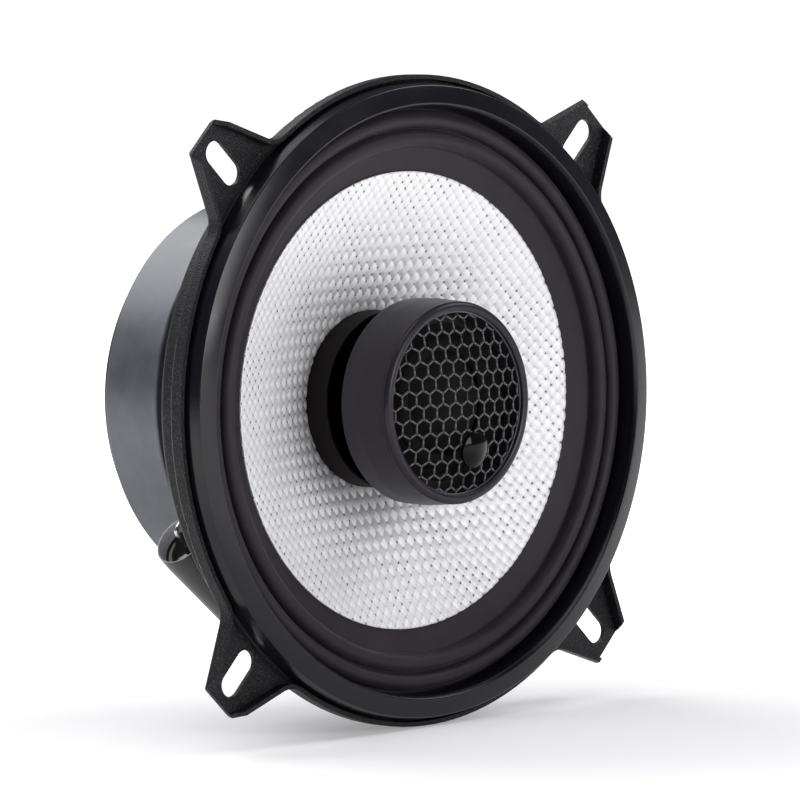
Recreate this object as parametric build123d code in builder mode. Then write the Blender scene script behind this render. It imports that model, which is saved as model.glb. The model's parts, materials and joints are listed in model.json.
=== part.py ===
from build123d import *
from math import atan2, cos, degrees, radians, sin, sqrt
import os

# Coaxial car speaker, 5.25 inch class: a pressed-steel basket with four slotted ears, a woven cone
# on a double-roll rubber surround, a ferrite motor, and a dome tweeter on a post through the middle.
# Millimetres. The axis lies along Y, the speaker faces -Y and +Z is up. The origin is the middle of
# the flange's rear face, which seats on the panel. "Forward" below is the distance along -Y.

os.makedirs("parts", exist_ok=True)

FRONT = Plane.XZ
SECTION = Plane(origin=(0, 0, 0), x_dir=(1, 0, 0), z_dir=(0, 0, -1))    # (radius, forward)
EAR_ANGLES = (45, 135, 225, 315)

# basket
sheet = 0.9
rim_radius = 64.6
lip_height = 3.4
rim_bend = 1.0
ear_tip_radius = 77.0
ear_tip_width = 9.4
ear_root_width = 24.6
ear_root_radius = 61.0
ear_root_fillet = 5.0
slot_radius = 69.7
slot_length = 10.4
slot_width = 4.9
skirt_slant = 1.5
wall_radius = 57.0
wall_forward = -10.8
shelf_forward = -17.0
shelf_radius = 38.5
throat_radius = 32.0
base_radius = 30.5
base_bore = 19.6
window_inner = 41.0
window_outer = 54.4
leg_width = 24.0
web_bend = 1.6
window_corner = 3.0
window_cut = 14.0
basket_rivet_circle = 26.0
basket_rivet_radius = 2.4
basket_rivet_height = 1.0

# motor
plate_front = -26.5
top_plate_thickness = 4.0
top_plate_radius = 38.0
gap_radius = 18.8
magnet_radius = 40.0
magnet_bore = 22.0
magnet_thickness = 15.0
back_plate_radius = 37.0
back_plate_thickness = 5.0
pole_radius = 16.9
former_radius = 17.7
former_thickness = 0.4
former_front = -5.2
former_rear = -34.0
winding_thickness = 0.65
winding_front = -23.8
winding_length = 9.5

# cone, surround and spider
cone_edge_radius = 45.2
cone_edge_forward = -0.5
cone_neck_forward = -11.0
cone_thickness = 0.6
band_radius = 49.8
band_rise = 0.8
rubber = 0.8
seat_radius = 63.1
roll_crest = 4.2
spider_outer = 38.0
spider_flange = 33.4
spider_inner = 19.4
spider_waves = 7
spider_wave_height = 0.9
spider_cloth = 0.4

# trim ring
trim_inner = 58.8
trim_outer = 62.6
trim_foot_inner = 57.9
trim_crest = 7.3
trim_side = 4.3
trim_shoulder = 6.4

# tweeter
can_radius = 20.4
can_front_radius = 20.05
can_belly = 0.1
can_rear = 1.8
can_waist = 6.5
can_front = 12.6
can_bore = 18.0
bezel_front = 14.2
bezel_radius = 19.5
bezel_bore = 18.1
grille_seat = 12.9
grille_radius = 18.7
grille_open_radius = 17.8
grille_rise = 2.3
grille_thickness = 0.5
hex_pitch = 3.25
hex_strand = 0.5
badge_radius = 3.6
badge_x = 2.7
badge_z = -9.4
pot_radius = 12.5
pot_bore = 10.5
pot_rear = -1.0
pot_front = 7.6
pole_plate_radius = 9.2
tweeter_coil_inner = 9.6
tweeter_coil_outer = 10.05
faceplate_front = 9.2
dome_height = 3.4
post_radius = 5.0
post_bore = 2.8
post_top = -5.0
post_end = -55.0
post_flange_radius = 8.5
post_neck_radius = 6.5
post_head_radius = 9.0
nut_across_flats = 15.0
nut_thickness = 4.0

# crossover capacitor, terminals and wires
capacitor_radius = 5.9
capacitor_length = 28.0
capacitor_wrap = 0.45
capacitor_middle = Vector(-31.9, 22.0, -33.9)
capacitor_axis = Vector(0.766, 0.035, -0.643).normalized()
seal_inset = 3.3
seal_depth = 2.0
wire_radius = 0.45
wire_seat = 0.05
board_thickness = 1.6
board_width = 24.0
board_top = -33.6
board_bottom = -55.0
board_front = shelf_forward - sheet
terminal_x = 6.5
positive_width = 6.3
negative_width = 4.8
tab_thickness = 0.8
lead_radius = 0.65
tinsel_radius = 0.6
tinsel_bend = 2.0

magnet_front = plate_front - top_plate_thickness
magnet_rear = magnet_front - magnet_thickness
yoke_rear = magnet_rear - back_plate_thickness
band_slope = band_rise / (band_radius - cone_edge_radius)


def save(piece, name):
    piece.part.label = name
    export_step(piece.part, f"parts/{name}.step")


def radial_plane(angle):
    """The plane through the axis at this angle from +X, with x outwards and y forward."""
    outwards = Vector(cos(radians(angle)), 0, sin(radians(angle)))
    return Plane(origin=(0, 0, 0), x_dir=outwards, z_dir=outwards.cross(Vector(0, -1, 0)))


def band_front(radius):
    """How far forward the cone's glued outer band lies at this radius."""
    return cone_edge_forward + band_slope * (radius - cone_edge_radius)


# ---------------------------------------------------------------- basket
with BuildPart() as basket:
    with BuildSketch(FRONT) as outline:
        Circle(rim_radius)
        with PolarLocations(0, 4, EAR_ANGLES[0]):
            Polygon(
                (ear_root_radius, -ear_root_width / 2),
                (ear_tip_radius, -ear_tip_width / 2),
                (ear_tip_radius, ear_tip_width / 2),
                (ear_root_radius, ear_root_width / 2),
                align=None,
            )
        roots = [v for v in outline.vertices() if abs(v.center().length - rim_radius) < 0.01]
        fillet(roots, ear_root_fillet)
    extrude(amount=sheet)
    with BuildSketch(FRONT):
        add(outline.sketch_local)
        offset(amount=-sheet, mode=Mode.SUBTRACT)
    extrude(amount=lip_height)
    # the lip folds up round the rim and the ears' sides, and leaves each ear's tip flat
    slant = skirt_slant / (lip_height - sheet)
    cut_height = 6.0
    for angle in EAR_ANGLES:
        with BuildSketch(radial_plane(angle)):
            Polygon(
                (ear_tip_radius, sheet),
                (ear_tip_radius + 3, sheet),
                (ear_tip_radius + 3, cut_height),
                (ear_tip_radius - slant * (cut_height - sheet), cut_height),
                align=None,
            )
        extrude(amount=ear_tip_width, both=True, mode=Mode.SUBTRACT)
    with BuildSketch(FRONT.offset(sheet)):
        with PolarLocations(ear_tip_radius, 4, EAR_ANGLES[0]):
            Rectangle(4 * sheet, ear_tip_width - 2 * sheet)
    extrude(amount=lip_height, mode=Mode.SUBTRACT)
    bends = [
        edge for edge in basket.edges().filter_by_position(Axis.Y, -0.001, 0.001)
        if rim_radius - 1 < edge.center().length < ear_tip_radius - 1
    ]
    fillet(bends, rim_bend)
    with BuildSketch(FRONT):
        Circle(wall_radius - sheet)
    extrude(amount=sheet, mode=Mode.SUBTRACT)
    with BuildSketch(SECTION):
        with BuildLine():
            FilletPolyline(
                (wall_radius, 0),
                (wall_radius, wall_forward),
                (shelf_radius, shelf_forward - sheet),
                (throat_radius, shelf_forward - sheet),
                (base_radius, plate_front),
                (base_bore, plate_front),
                radius=web_bend,
            )
            offset(amount=sheet, side=Side.RIGHT)
        make_face()
    revolve(axis=Axis.Y)
    with BuildSketch(FRONT.offset(shelf_forward - 3)) as windows:
        Circle(window_outer)
        Circle(window_inner, mode=Mode.SUBTRACT)
        Rectangle(3 * window_outer, leg_width, mode=Mode.SUBTRACT)
        Rectangle(leg_width, 3 * window_outer, mode=Mode.SUBTRACT)
        fillet(windows.vertices(), window_corner)
    extrude(amount=window_cut, mode=Mode.SUBTRACT)
    with BuildSketch(FRONT):
        with PolarLocations(slot_radius, 4, EAR_ANGLES[0]):
            SlotOverall(slot_length, slot_width)
    extrude(amount=sheet, mode=Mode.SUBTRACT)
save(basket, "basket")

with BuildPart() as basket_rivets:
    with BuildSketch(FRONT.offset(plate_front + sheet)):
        with PolarLocations(basket_rivet_circle, 4, EAR_ANGLES[0]):
            Circle(basket_rivet_radius)
    extrude(amount=basket_rivet_height)
    fillet(basket_rivets.edges().group_by(Axis.Y)[0], 0.6)
save(basket_rivets, "basket_rivets")


# ---------------------------------------------------------------- motor
with BuildPart() as top_plate:
    with BuildSketch(FRONT.offset(magnet_front)):
        Circle(top_plate_radius)
        Circle(gap_radius, mode=Mode.SUBTRACT)
    extrude(amount=top_plate_thickness)
    chamfer(top_plate.edges().group_by(SortBy.LENGTH)[-1], 0.4)
save(top_plate, "top_plate")

with BuildPart() as magnet:
    with BuildSketch(FRONT.offset(magnet_rear)):
        Circle(magnet_radius)
        Circle(magnet_bore, mode=Mode.SUBTRACT)
    extrude(amount=magnet_thickness)
    fillet(magnet.edges().group_by(SortBy.LENGTH)[-1], 0.5)
save(magnet, "magnet")

with BuildPart() as t_yoke:
    with BuildSketch(SECTION):
        Polygon(
            (post_radius, plate_front),
            (pole_radius, plate_front),
            (pole_radius, magnet_rear),
            (back_plate_radius, magnet_rear),
            (back_plate_radius, yoke_rear),
            (post_radius, yoke_rear),
            align=None,
        )
    revolve(axis=Axis.Y)
    rear_rim = t_yoke.edges().filter_by_position(Axis.Y, -yoke_rear - 0.01, -yoke_rear + 0.01)
    chamfer(rear_rim.sort_by(SortBy.RADIUS)[-1], 1.5)
    chamfer(rear_rim.sort_by(SortBy.RADIUS)[0], 0.6)
save(t_yoke, "t_yoke")


# ---------------------------------------------------------------- cone, coil, surround and spider
neck_height = 2.4
with BuildPart() as cone:
    with BuildSketch(SECTION):
        with BuildLine():
            FilletPolyline(
                (former_radius, cone_neck_forward),
                (cone_edge_radius, cone_edge_forward),
                (band_radius, band_front(band_radius)),
                radius=2.0,
            )
            offset(amount=cone_thickness, side=Side.RIGHT)
        make_face()
        with Locations((former_radius, cone_neck_forward - 0.1)):
            Rectangle(cone_thickness, neck_height, align=(Align.MIN, Align.MAX))
    revolve(axis=Axis.Y)
save(cone, "cone")

with BuildPart() as coil_former:
    with BuildSketch(FRONT.offset(former_rear)):
        Circle(former_radius)
        Circle(former_radius - former_thickness, mode=Mode.SUBTRACT)
    extrude(amount=former_front - former_rear)
save(coil_former, "coil_former")

with BuildPart() as voice_coil:
    with BuildSketch(FRONT.offset(winding_front)):
        Circle(former_radius + winding_thickness)
        Circle(former_radius, mode=Mode.SUBTRACT)
    extrude(amount=-winding_length)
save(voice_coil, "voice_coil")

land_rise = rubber * sqrt(1 + band_slope**2)
land_inner = cone_edge_radius + 0.1
inner_roll = (53.6, 50.4)
outer_roll = (57.3, 54.2)
valley_floor = 2.0
seat_front = sheet + rubber
land_front = band_front(inner_roll[1]) + land_rise
with BuildPart() as surround:
    with BuildSketch(SECTION):
        with BuildLine():
            Line((seat_radius, seat_front), (outer_roll[0], seat_front))
            for outside, inside, foot in ((*outer_roll, seat_front), (*inner_roll, valley_floor)):
                shoulder = roll_crest - (outside - inside) / 2
                end_foot = valley_floor if inside == outer_roll[1] else land_front
                Line((outside, foot), (outside, shoulder))
                ThreePointArc((outside, shoulder), ((outside + inside) / 2, roll_crest),
                              (inside, shoulder))
                Line((inside, shoulder), (inside, end_foot))
            ThreePointArc((outer_roll[1], valley_floor),
                          ((outer_roll[1] + inner_roll[0]) / 2, valley_floor - 0.3),
                          (inner_roll[0], valley_floor))
            Line((inner_roll[1], land_front), (land_inner, band_front(land_inner) + land_rise))
            offset(amount=rubber, side=Side.LEFT)
        make_face()
    revolve(axis=Axis.Y)
save(surround, "surround")

with BuildPart() as spider:
    with BuildSketch(SECTION):
        with BuildLine():
            middle = shelf_forward + spider_cloth
            Line((spider_outer, middle), (spider_flange, middle))
            wave = (spider_flange - spider_inner) / spider_waves
            for turn in range(spider_waves):
                side = 1 if turn % 2 == 0 else -1
                start = spider_flange - turn * wave
                crest = middle + side * spider_wave_height
                ThreePointArc((start, middle), (start - wave / 2, crest), (start - wave, middle))
            Line((spider_inner, middle), (former_radius, middle))
            offset(amount=spider_cloth, side=Side.LEFT)
        make_face()
    revolve(axis=Axis.Y)
save(spider, "spider")

with BuildPart() as trim_ring:
    with BuildSketch(SECTION) as trim_section:
        Polygon(
            (trim_foot_inner, sheet + rubber),
            (seat_radius, sheet + rubber),
            (seat_radius, trim_side),
            (trim_outer, trim_shoulder),
            (trim_inner, trim_crest),
            (trim_inner - 0.5, trim_crest - 0.9),
            align=None,
        )
        shoulder = trim_section.vertices().sort_by_distance((trim_outer, trim_shoulder))[0]
        fillet(shoulder, 0.8)
        crest = trim_section.vertices().sort_by_distance((trim_inner, trim_crest))[0]
        fillet(crest, 0.25)
    revolve(axis=Axis.Y)
save(trim_ring, "trim_ring")


# ---------------------------------------------------------------- tweeter
with BuildPart() as tweeter_post:
    with BuildSketch(SECTION):
        Polygon(
            (post_bore, post_end),
            (post_radius - 0.4, post_end),
            (post_radius, post_end + 0.4),
            (post_radius, plate_front),
            (post_flange_radius, plate_front),
            (post_flange_radius, plate_front + 2.0),
            (post_neck_radius, plate_front + 4.0),
            (post_neck_radius, post_top - 3.5),
            (post_head_radius, post_top - 1.0),
            (post_head_radius, post_top),
            (post_bore, post_top),
            align=None,
        )
    revolve(axis=Axis.Y)
save(tweeter_post, "tweeter_post")

with BuildPart() as post_nut:
    with BuildSketch(FRONT.offset(yoke_rear)):
        RegularPolygon(nut_across_flats / 2, 6, major_radius=False)
        Circle(post_radius, mode=Mode.SUBTRACT)
    extrude(amount=-nut_thickness)
    with BuildSketch(SECTION):
        Polygon((7.4, yoke_rear - nut_thickness), (9.4, yoke_rear - nut_thickness + 1.1),
                (9.4, yoke_rear - nut_thickness), align=None)
    revolve(axis=Axis.Y, mode=Mode.SUBTRACT)
save(post_nut, "post_nut")

with BuildPart() as tweeter_housing:
    with BuildSketch(SECTION) as can_section:
        with BuildLine():
            Polyline(
                (post_bore, post_top),
                (9.6, post_top),
                (13.8, post_top + 1.5),
                (16.4, post_top + 3.1),
                (19.4, can_rear - 0.9),
                (can_radius, can_rear),
                (can_radius + can_belly, can_waist),
                (can_front_radius, can_front),
                (grille_radius + 0.1, can_front),
                (grille_radius + 0.1, grille_seat),
                (can_bore, grille_seat),
                (can_bore, 3.0),
                (15.2, pot_rear),
                (post_bore, pot_rear),
                close=True,
            )
        make_face()
        fillet(can_section.vertices().sort_by_distance((can_radius, can_rear))[0], 0.6)
        fillet(can_section.vertices().sort_by_distance((16.4, post_top + 3.1))[0], 2.0)
        fillet(can_section.vertices().sort_by_distance((can_radius + can_belly, can_waist))[0], 8.0)
    revolve(axis=Axis.Y)
save(tweeter_housing, "tweeter_housing")

with BuildPart() as tweeter_bezel:
    with BuildSketch(SECTION) as bezel_section:
        Polygon(
            (bezel_bore, grille_seat + grille_thickness),
            (bezel_bore, bezel_front - 0.2),
            (bezel_radius, bezel_front),
            (can_front_radius, can_front + 0.3),
            (can_front_radius, can_front),
            (grille_radius + 0.1, can_front),
            (grille_radius + 0.1, grille_seat + grille_thickness),
            align=None,
        )
        fillet(bezel_section.vertices().sort_by_distance((bezel_radius, bezel_front))[0], 0.25)
    revolve(axis=Axis.Y)
save(tweeter_bezel, "tweeter_bezel")

# the grille is a shallow dome inside a flat rim, pierced by a honeycomb
sphere = (grille_open_radius**2 + grille_rise**2) / (2 * grille_rise)
dome_start = grille_seat + grille_thickness
sphere_centre = dome_start + grille_rise - sphere
with BuildPart() as tweeter_grille:
    with BuildSketch(SECTION):
        with BuildLine():
            Polyline(
                (0, dome_start + grille_rise - grille_thickness),
                (0, dome_start + grille_rise),
            )
            apex_drop = grille_rise - sphere + sqrt(sphere**2 - (grille_open_radius / 2)**2)
            ThreePointArc(
                (0, dome_start + grille_rise),
                (grille_open_radius / 2, dome_start + apex_drop),
                (grille_open_radius, dome_start),
            )
            Polyline(
                (grille_open_radius, dome_start),
                (grille_radius, dome_start),
                (grille_radius, grille_seat),
                (grille_open_radius, grille_seat),
            )
            ThreePointArc(
                (grille_open_radius, grille_seat),
                (grille_open_radius / 2, grille_seat + apex_drop),
                (0, dome_start + grille_rise - grille_thickness),
            )
        make_face()
    revolve(axis=Axis.Y)
    # the cells stand in level rows, so the sketch lies on its side
    with BuildSketch(Plane(origin=(0, 1 - grille_seat, 0), x_dir=(0, 0, 1), z_dir=(0, -1, 0))):
        with HexLocations(hex_pitch / 2, 14, 13):
            RegularPolygon((hex_pitch - hex_strand) / 2, 6, major_radius=False)
        Circle(grille_open_radius, mode=Mode.INTERSECT)
    extrude(amount=grille_rise + 3, mode=Mode.SUBTRACT)
save(tweeter_grille, "tweeter_grille")

badge_distance = sqrt(badge_x**2 + badge_z**2)
badge_forward = sphere_centre + sqrt(sphere**2 - badge_distance**2)
badge_normal = Vector(badge_x, -(badge_forward - sphere_centre), badge_z).normalized()
with BuildPart() as grille_badge:
    with BuildSketch(Plane(origin=(badge_x, -badge_forward, badge_z), z_dir=badge_normal)):
        Circle(badge_radius)
    extrude(amount=0.9)
    fillet(grille_badge.edges().sort_by_distance((2 * badge_x, -30, 2 * badge_z))[0], 0.5)
save(grille_badge, "grille_badge")

with BuildPart() as tweeter_pot:
    with BuildSketch(FRONT.offset(pot_rear)):
        Circle(pot_radius)
    extrude(amount=pot_front - pot_rear)
    with BuildSketch(FRONT.offset(pot_rear + 2.2)):
        Circle(pot_bore)
    extrude(amount=pot_front, mode=Mode.SUBTRACT)
    chamfer(tweeter_pot.edges().group_by(Axis.Y)[-1], 0.4)
save(tweeter_pot, "tweeter_pot")

with BuildPart() as tweeter_magnet:
    with BuildSketch(FRONT.offset(pot_rear + 2.2)):
        Circle(pole_plate_radius - 0.2)
    extrude(amount=3.4)
save(tweeter_magnet, "tweeter_magnet")

with BuildPart() as tweeter_pole_plate:
    with BuildSketch(FRONT.offset(pot_rear + 5.6)):
        Circle(pole_plate_radius)
    extrude(amount=pot_front - pot_rear - 5.6)
save(tweeter_pole_plate, "tweeter_pole_plate")

with BuildPart() as tweeter_faceplate:
    with BuildSketch(FRONT.offset(pot_front)):
        Circle(can_bore)
        Circle(pot_bore + 1.2, mode=Mode.SUBTRACT)
    extrude(amount=faceplate_front - pot_front)
save(tweeter_faceplate, "tweeter_faceplate")

dome_thickness = 0.3
dome_edge = faceplate_front
dome_sphere = (tweeter_coil_outer**2 + dome_height**2) / (2 * dome_height)
dome_centre = dome_edge + dome_height - dome_sphere
with BuildPart() as tweeter_dome:
    with Locations((0, -dome_centre, 0)):
        Sphere(dome_sphere)
        Sphere(dome_sphere - dome_thickness, mode=Mode.SUBTRACT)
    split(bisect_by=FRONT.offset(dome_edge), keep=Keep.TOP)
save(tweeter_dome, "tweeter_dome")

with BuildPart() as tweeter_coil:
    with BuildSketch(FRONT.offset(dome_edge)):
        Circle(tweeter_coil_outer)
        Circle(tweeter_coil_inner, mode=Mode.SUBTRACT)
    extrude(amount=-4.8)
save(tweeter_coil, "tweeter_coil")

roll_start = tweeter_coil_outer
roll_end = 13.2
with BuildPart() as tweeter_surround:
    with BuildSketch(SECTION):
        with BuildLine():
            ThreePointArc((roll_start, dome_edge), ((roll_start + roll_end) / 2, dome_edge + 1.2),
                          (roll_end, dome_edge))
            Line((roll_end, dome_edge), (15.6, dome_edge))
            Line((15.6, dome_edge), (15.6, dome_edge + 0.3))
            Line((15.6, dome_edge + 0.3), (roll_end + 0.1, dome_edge + 0.3))
            ThreePointArc((roll_end + 0.1, dome_edge + 0.3),
                          ((roll_start + roll_end) / 2, dome_edge + 1.5),
                          (roll_start, dome_edge + 0.3))
            Line((roll_start, dome_edge + 0.3), (roll_start, dome_edge))
        make_face()
    revolve(axis=Axis.Y)
save(tweeter_surround, "tweeter_surround")


# ---------------------------------------------------------------- terminals
rear_face = Plane(origin=(0, -board_front, 0), x_dir=(1, 0, 0), z_dir=(0, 1, 0))
board_rear = board_front - board_thickness
board_rivet_x = 7.5
board_rivet_z = -36.2
terminal_rivet_z = -45.5
rivet_radius = 1.2
rivet_head_radius = 2.2
with BuildPart() as terminal_board:
    with BuildSketch(FRONT.offset(board_rear)) as board_sketch:
        with Locations((0, board_top)):
            Rectangle(board_width, board_top - board_bottom, align=(Align.CENTER, Align.MAX))
        fillet(board_sketch.vertices(), 1.5)
        for x, z in ((board_rivet_x, board_rivet_z), (terminal_x, terminal_rivet_z)):
            with Locations((-x, z), (x, z)):
                Circle(rivet_radius, mode=Mode.SUBTRACT)
    extrude(amount=board_thickness)
save(terminal_board, "terminal_board")


def terminal(side, width):
    """A spade terminal: a pad riveted to the board's rear, bent back into a tab with a hole."""
    pad_bottom = -50.5
    tab_length = 9.5
    with BuildPart() as blade:
        with BuildSketch(FRONT.offset(board_rear)):
            with Locations((side * terminal_x, pad_bottom)):
                Rectangle(width, 8.5, align=(Align.CENTER, Align.MIN))
            with Locations((side * terminal_x, terminal_rivet_z)):
                Circle(rivet_radius, mode=Mode.SUBTRACT)
        extrude(amount=-tab_thickness)
        with BuildSketch(Plane.XY.offset(pad_bottom)) as tab:
            with Locations((side * terminal_x, -board_rear)):
                Rectangle(width, tab_length, align=(Align.CENTER, Align.MIN))
            chamfer(tab.vertices().group_by(Axis.Y)[-1], 1.0)
            with Locations((side * terminal_x, -board_rear + tab_length - 3)):
                Circle(0.8, mode=Mode.SUBTRACT)
        extrude(amount=tab_thickness)
    return blade


save(terminal(-1, positive_width), "terminal_positive")
save(terminal(1, negative_width), "terminal_negative")

with BuildPart() as terminal_rivets:
    for x, z, seat in (
        (board_rivet_x, board_rivet_z, board_rear),
        (terminal_x, terminal_rivet_z, board_rear - tab_thickness),
    ):
        with BuildSketch(FRONT.offset(seat)):
            with Locations((-x, z), (x, z)):
                Circle(rivet_head_radius)
        extrude(amount=-0.7)
        with BuildSketch(FRONT.offset(seat)):
            with Locations((-x, z), (x, z)):
                Circle(rivet_radius)
        extrude(amount=board_front - seat)
save(terminal_rivets, "terminal_rivets")


# ---------------------------------------------------------------- crossover capacitor
def capacitor_plane(along):
    """A plane square to the capacitor's axis, this far along it from the middle."""
    return Plane(origin=capacitor_middle + capacitor_axis * along, z_dir=capacitor_axis)


half_length = capacitor_length / 2
roll_radius = capacitor_radius - capacitor_wrap
roll_half = half_length - seal_inset - seal_depth
with BuildPart() as capacitor_wrap_sleeve:
    with BuildSketch(capacitor_plane(-half_length)):
        Circle(capacitor_radius)
        Circle(roll_radius, mode=Mode.SUBTRACT)
    extrude(amount=capacitor_length)
    fillet(capacitor_wrap_sleeve.edges().filter_by(GeomType.CIRCLE), 0.18)
save(capacitor_wrap_sleeve, "capacitor_wrap")

with BuildPart() as capacitor_roll:
    with BuildSketch(capacitor_plane(-roll_half)):
        Circle(roll_radius)
    extrude(amount=2 * roll_half)
save(capacitor_roll, "capacitor_roll")

with BuildPart() as capacitor_seals:
    for end in (-1, 1):
        with BuildSketch(capacitor_plane(end * roll_half)):
            Circle(roll_radius)
        extrude(amount=end * seal_depth)
save(capacitor_seals, "capacitor_seals")

inward = Vector(-capacitor_axis.Z, 0, capacitor_axis.X).normalized()
upper_end = capacitor_middle - capacitor_axis * half_length
lower_end = capacitor_middle + capacitor_axis * half_length
beside = inward * (capacitor_radius + 1.7)
solder_y = -board_front - 0.9
pad_wire_y = -board_rear + tab_thickness + wire_radius + wire_seat
with BuildPart() as capacitor_leads:
    # the upper lead turns back along the capacitor's inner side to the board
    with BuildLine() as return_lead:
        FilletPolyline(
            upper_end + capacitor_axis * seal_inset,
            upper_end - capacitor_axis * 2.2,
            upper_end - capacitor_axis * 2.2 + beside,
            lower_end - capacitor_axis * 3.0 + beside,
            (-12.8, solder_y - 0.1, -44.6),
            (-7.2, solder_y, -45.6),
            radius=1.2,
        )
    with BuildSketch(Plane(return_lead.line @ 0, z_dir=return_lead.line % 0)):
        Circle(wire_radius)
    sweep(path=return_lead.line)
    with BuildLine() as straight_lead:
        FilletPolyline(
            lower_end - capacitor_axis * seal_inset,
            lower_end + capacitor_axis * 2.4,
            (-9.8, pad_wire_y, -48.6),
            radius=1.2,
        )
    with BuildSketch(Plane(straight_lead.line @ 0, z_dir=straight_lead.line % 0)):
        Circle(wire_radius)
    sweep(path=straight_lead.line)
save(capacitor_leads, "capacitor_leads")

# a bead of adhesive holds the capacitor to the spider shelf
bead_angle = degrees(atan2(capacitor_middle.Z, capacitor_middle.X))
with BuildPart() as capacitor_adhesive:
    with BuildSketch(radial_plane(bead_angle)):
        Polygon(
            (34.5, board_front), (43.4, board_front), (44.0, board_front - 4.0),
            (41.5, board_front - 5.5), (38.5, board_front - 4.5),
            align=None,
        )
    extrude(amount=5.0, both=True)
    fillet(capacitor_adhesive.edges().filter_by_position(Axis.Y, -board_front + 0.3, 40), 0.8)
    with BuildSketch(capacitor_plane(-half_length)):
        Circle(capacitor_radius)
    extrude(amount=capacitor_length, mode=Mode.SUBTRACT)
    add(capacitor_leads.part, mode=Mode.SUBTRACT)
save(capacitor_adhesive, "capacitor_adhesive")


# ---------------------------------------------------------------- tweeter wires and tinsel leads
back_y = -yoke_rear + lead_radius + wire_seat
side_z = -(magnet_radius + lead_radius + wire_seat)
exit_y = -post_end + 2.2
with BuildPart() as tweeter_leads:
    for x in (-0.8, 0.8):
        with BuildLine() as lead:
            FilletPolyline(
                (x, -pot_rear + 0.4, 0),
                (x, exit_y, 0),
                (x, exit_y, -10.6),
                (x, back_y, -14.0),
                (x, back_y, -38.4),
                (x, -magnet_rear - 0.2, side_z),
                (x, -board_rear + tab_thickness + 3.6, side_z),
                (x, -board_rear + lead_radius + wire_seat, side_z - 3.0),
                (x, -board_rear + lead_radius + wire_seat, terminal_rivet_z - 1),
                radius=1.4,
            )
        with BuildSketch(Plane(lead.line @ 0, z_dir=lead.line % 0)):
            Circle(lead_radius)
        sweep(path=lead.line)
save(tweeter_leads, "tweeter_leads")

with BuildPart() as tinsel_leads:
    # from the terminals, out through a basket window and in to the cone's neck
    for side in (-1, 1):
        with BuildLine() as tinsel:
            FilletPolyline(
                (side * 11.2, -board_front - 0.65, -40.6),
                (side * 15.8, -board_front - 0.9, -39.9),
                (side * 17.0, 12.0, -38.6),
                (side * 12.4, 9.0, -24.0),
                radius=tinsel_bend,
            )
        with BuildSketch(Plane(tinsel.line @ 0, z_dir=tinsel.line % 0)):
            Circle(tinsel_radius)
        sweep(path=tinsel.line)
save(tinsel_leads, "tinsel_leads")
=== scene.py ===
"""Looks for the coaxial car speaker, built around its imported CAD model.

Metres. The speaker faces -Y along its axis, +Z is up, and "forward" is the distance along -Y.
"""

import json
import math

import bmesh
import bpy
import numpy as np
from mathutils import Matrix, Vector


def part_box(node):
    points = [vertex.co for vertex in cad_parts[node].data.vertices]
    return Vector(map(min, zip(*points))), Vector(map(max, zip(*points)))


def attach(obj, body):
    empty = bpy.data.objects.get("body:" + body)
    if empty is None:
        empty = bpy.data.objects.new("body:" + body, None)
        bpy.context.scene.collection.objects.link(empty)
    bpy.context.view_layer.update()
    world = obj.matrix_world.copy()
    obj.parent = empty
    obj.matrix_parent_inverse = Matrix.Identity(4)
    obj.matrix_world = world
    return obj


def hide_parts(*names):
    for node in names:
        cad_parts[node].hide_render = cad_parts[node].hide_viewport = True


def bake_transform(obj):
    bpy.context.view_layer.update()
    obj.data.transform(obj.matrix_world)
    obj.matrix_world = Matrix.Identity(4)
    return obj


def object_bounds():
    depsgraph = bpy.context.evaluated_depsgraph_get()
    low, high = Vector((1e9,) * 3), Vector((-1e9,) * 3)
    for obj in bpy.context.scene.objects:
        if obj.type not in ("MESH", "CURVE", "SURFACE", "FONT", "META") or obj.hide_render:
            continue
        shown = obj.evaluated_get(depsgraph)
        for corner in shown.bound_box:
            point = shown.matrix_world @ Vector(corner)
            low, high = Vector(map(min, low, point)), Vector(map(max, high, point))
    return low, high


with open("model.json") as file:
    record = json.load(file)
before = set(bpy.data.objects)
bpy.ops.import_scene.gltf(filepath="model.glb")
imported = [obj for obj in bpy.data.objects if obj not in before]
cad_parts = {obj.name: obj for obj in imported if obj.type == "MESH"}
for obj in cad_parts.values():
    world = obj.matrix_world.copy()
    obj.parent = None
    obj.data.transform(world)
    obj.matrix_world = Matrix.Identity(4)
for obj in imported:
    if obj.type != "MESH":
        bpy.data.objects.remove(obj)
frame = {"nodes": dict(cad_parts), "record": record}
cad_low, cad_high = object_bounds()

MM = 0.001
CHASSIS = "chassis"
CONE_BODY = "cone_assembly"


# ---------------------------------------------------------------- sizes read from the frame
def reach(node):
    """The outer radius of a round node."""
    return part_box(node)[1][0]


def front_of(node):
    """How far forward a node reaches."""
    return -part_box(node)[0][1]


def rear_of(node):
    """How far forward a node's rear lies, which is negative behind the panel."""
    return -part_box(node)[1][1]


CAPACITOR_AXIS = (0.766, 0.035, -0.643)
CAPACITOR_RADIUS = 5.9 * MM
CAPACITOR_HALF = 14.0 * MM
SEAL_INSET = 3.3 * MM


def capacitor_middle():
    low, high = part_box("capacitor_wrap")
    return (Vector(low) + Vector(high)) / 2


# ---------------------------------------------------------------- camera, floor and light
CAMERA_AZIMUTH = math.radians(44.64)     # round to the speaker's left
CAMERA_ELEVATION = math.radians(4.38)
CAMERA_ROLL = math.radians(-1.55)
CAMERA_DISTANCE = 1.180
CAMERA_LENS = 267.3
CAMERA_AIM = Vector((0, 2.5 * MM, 0))


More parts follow.
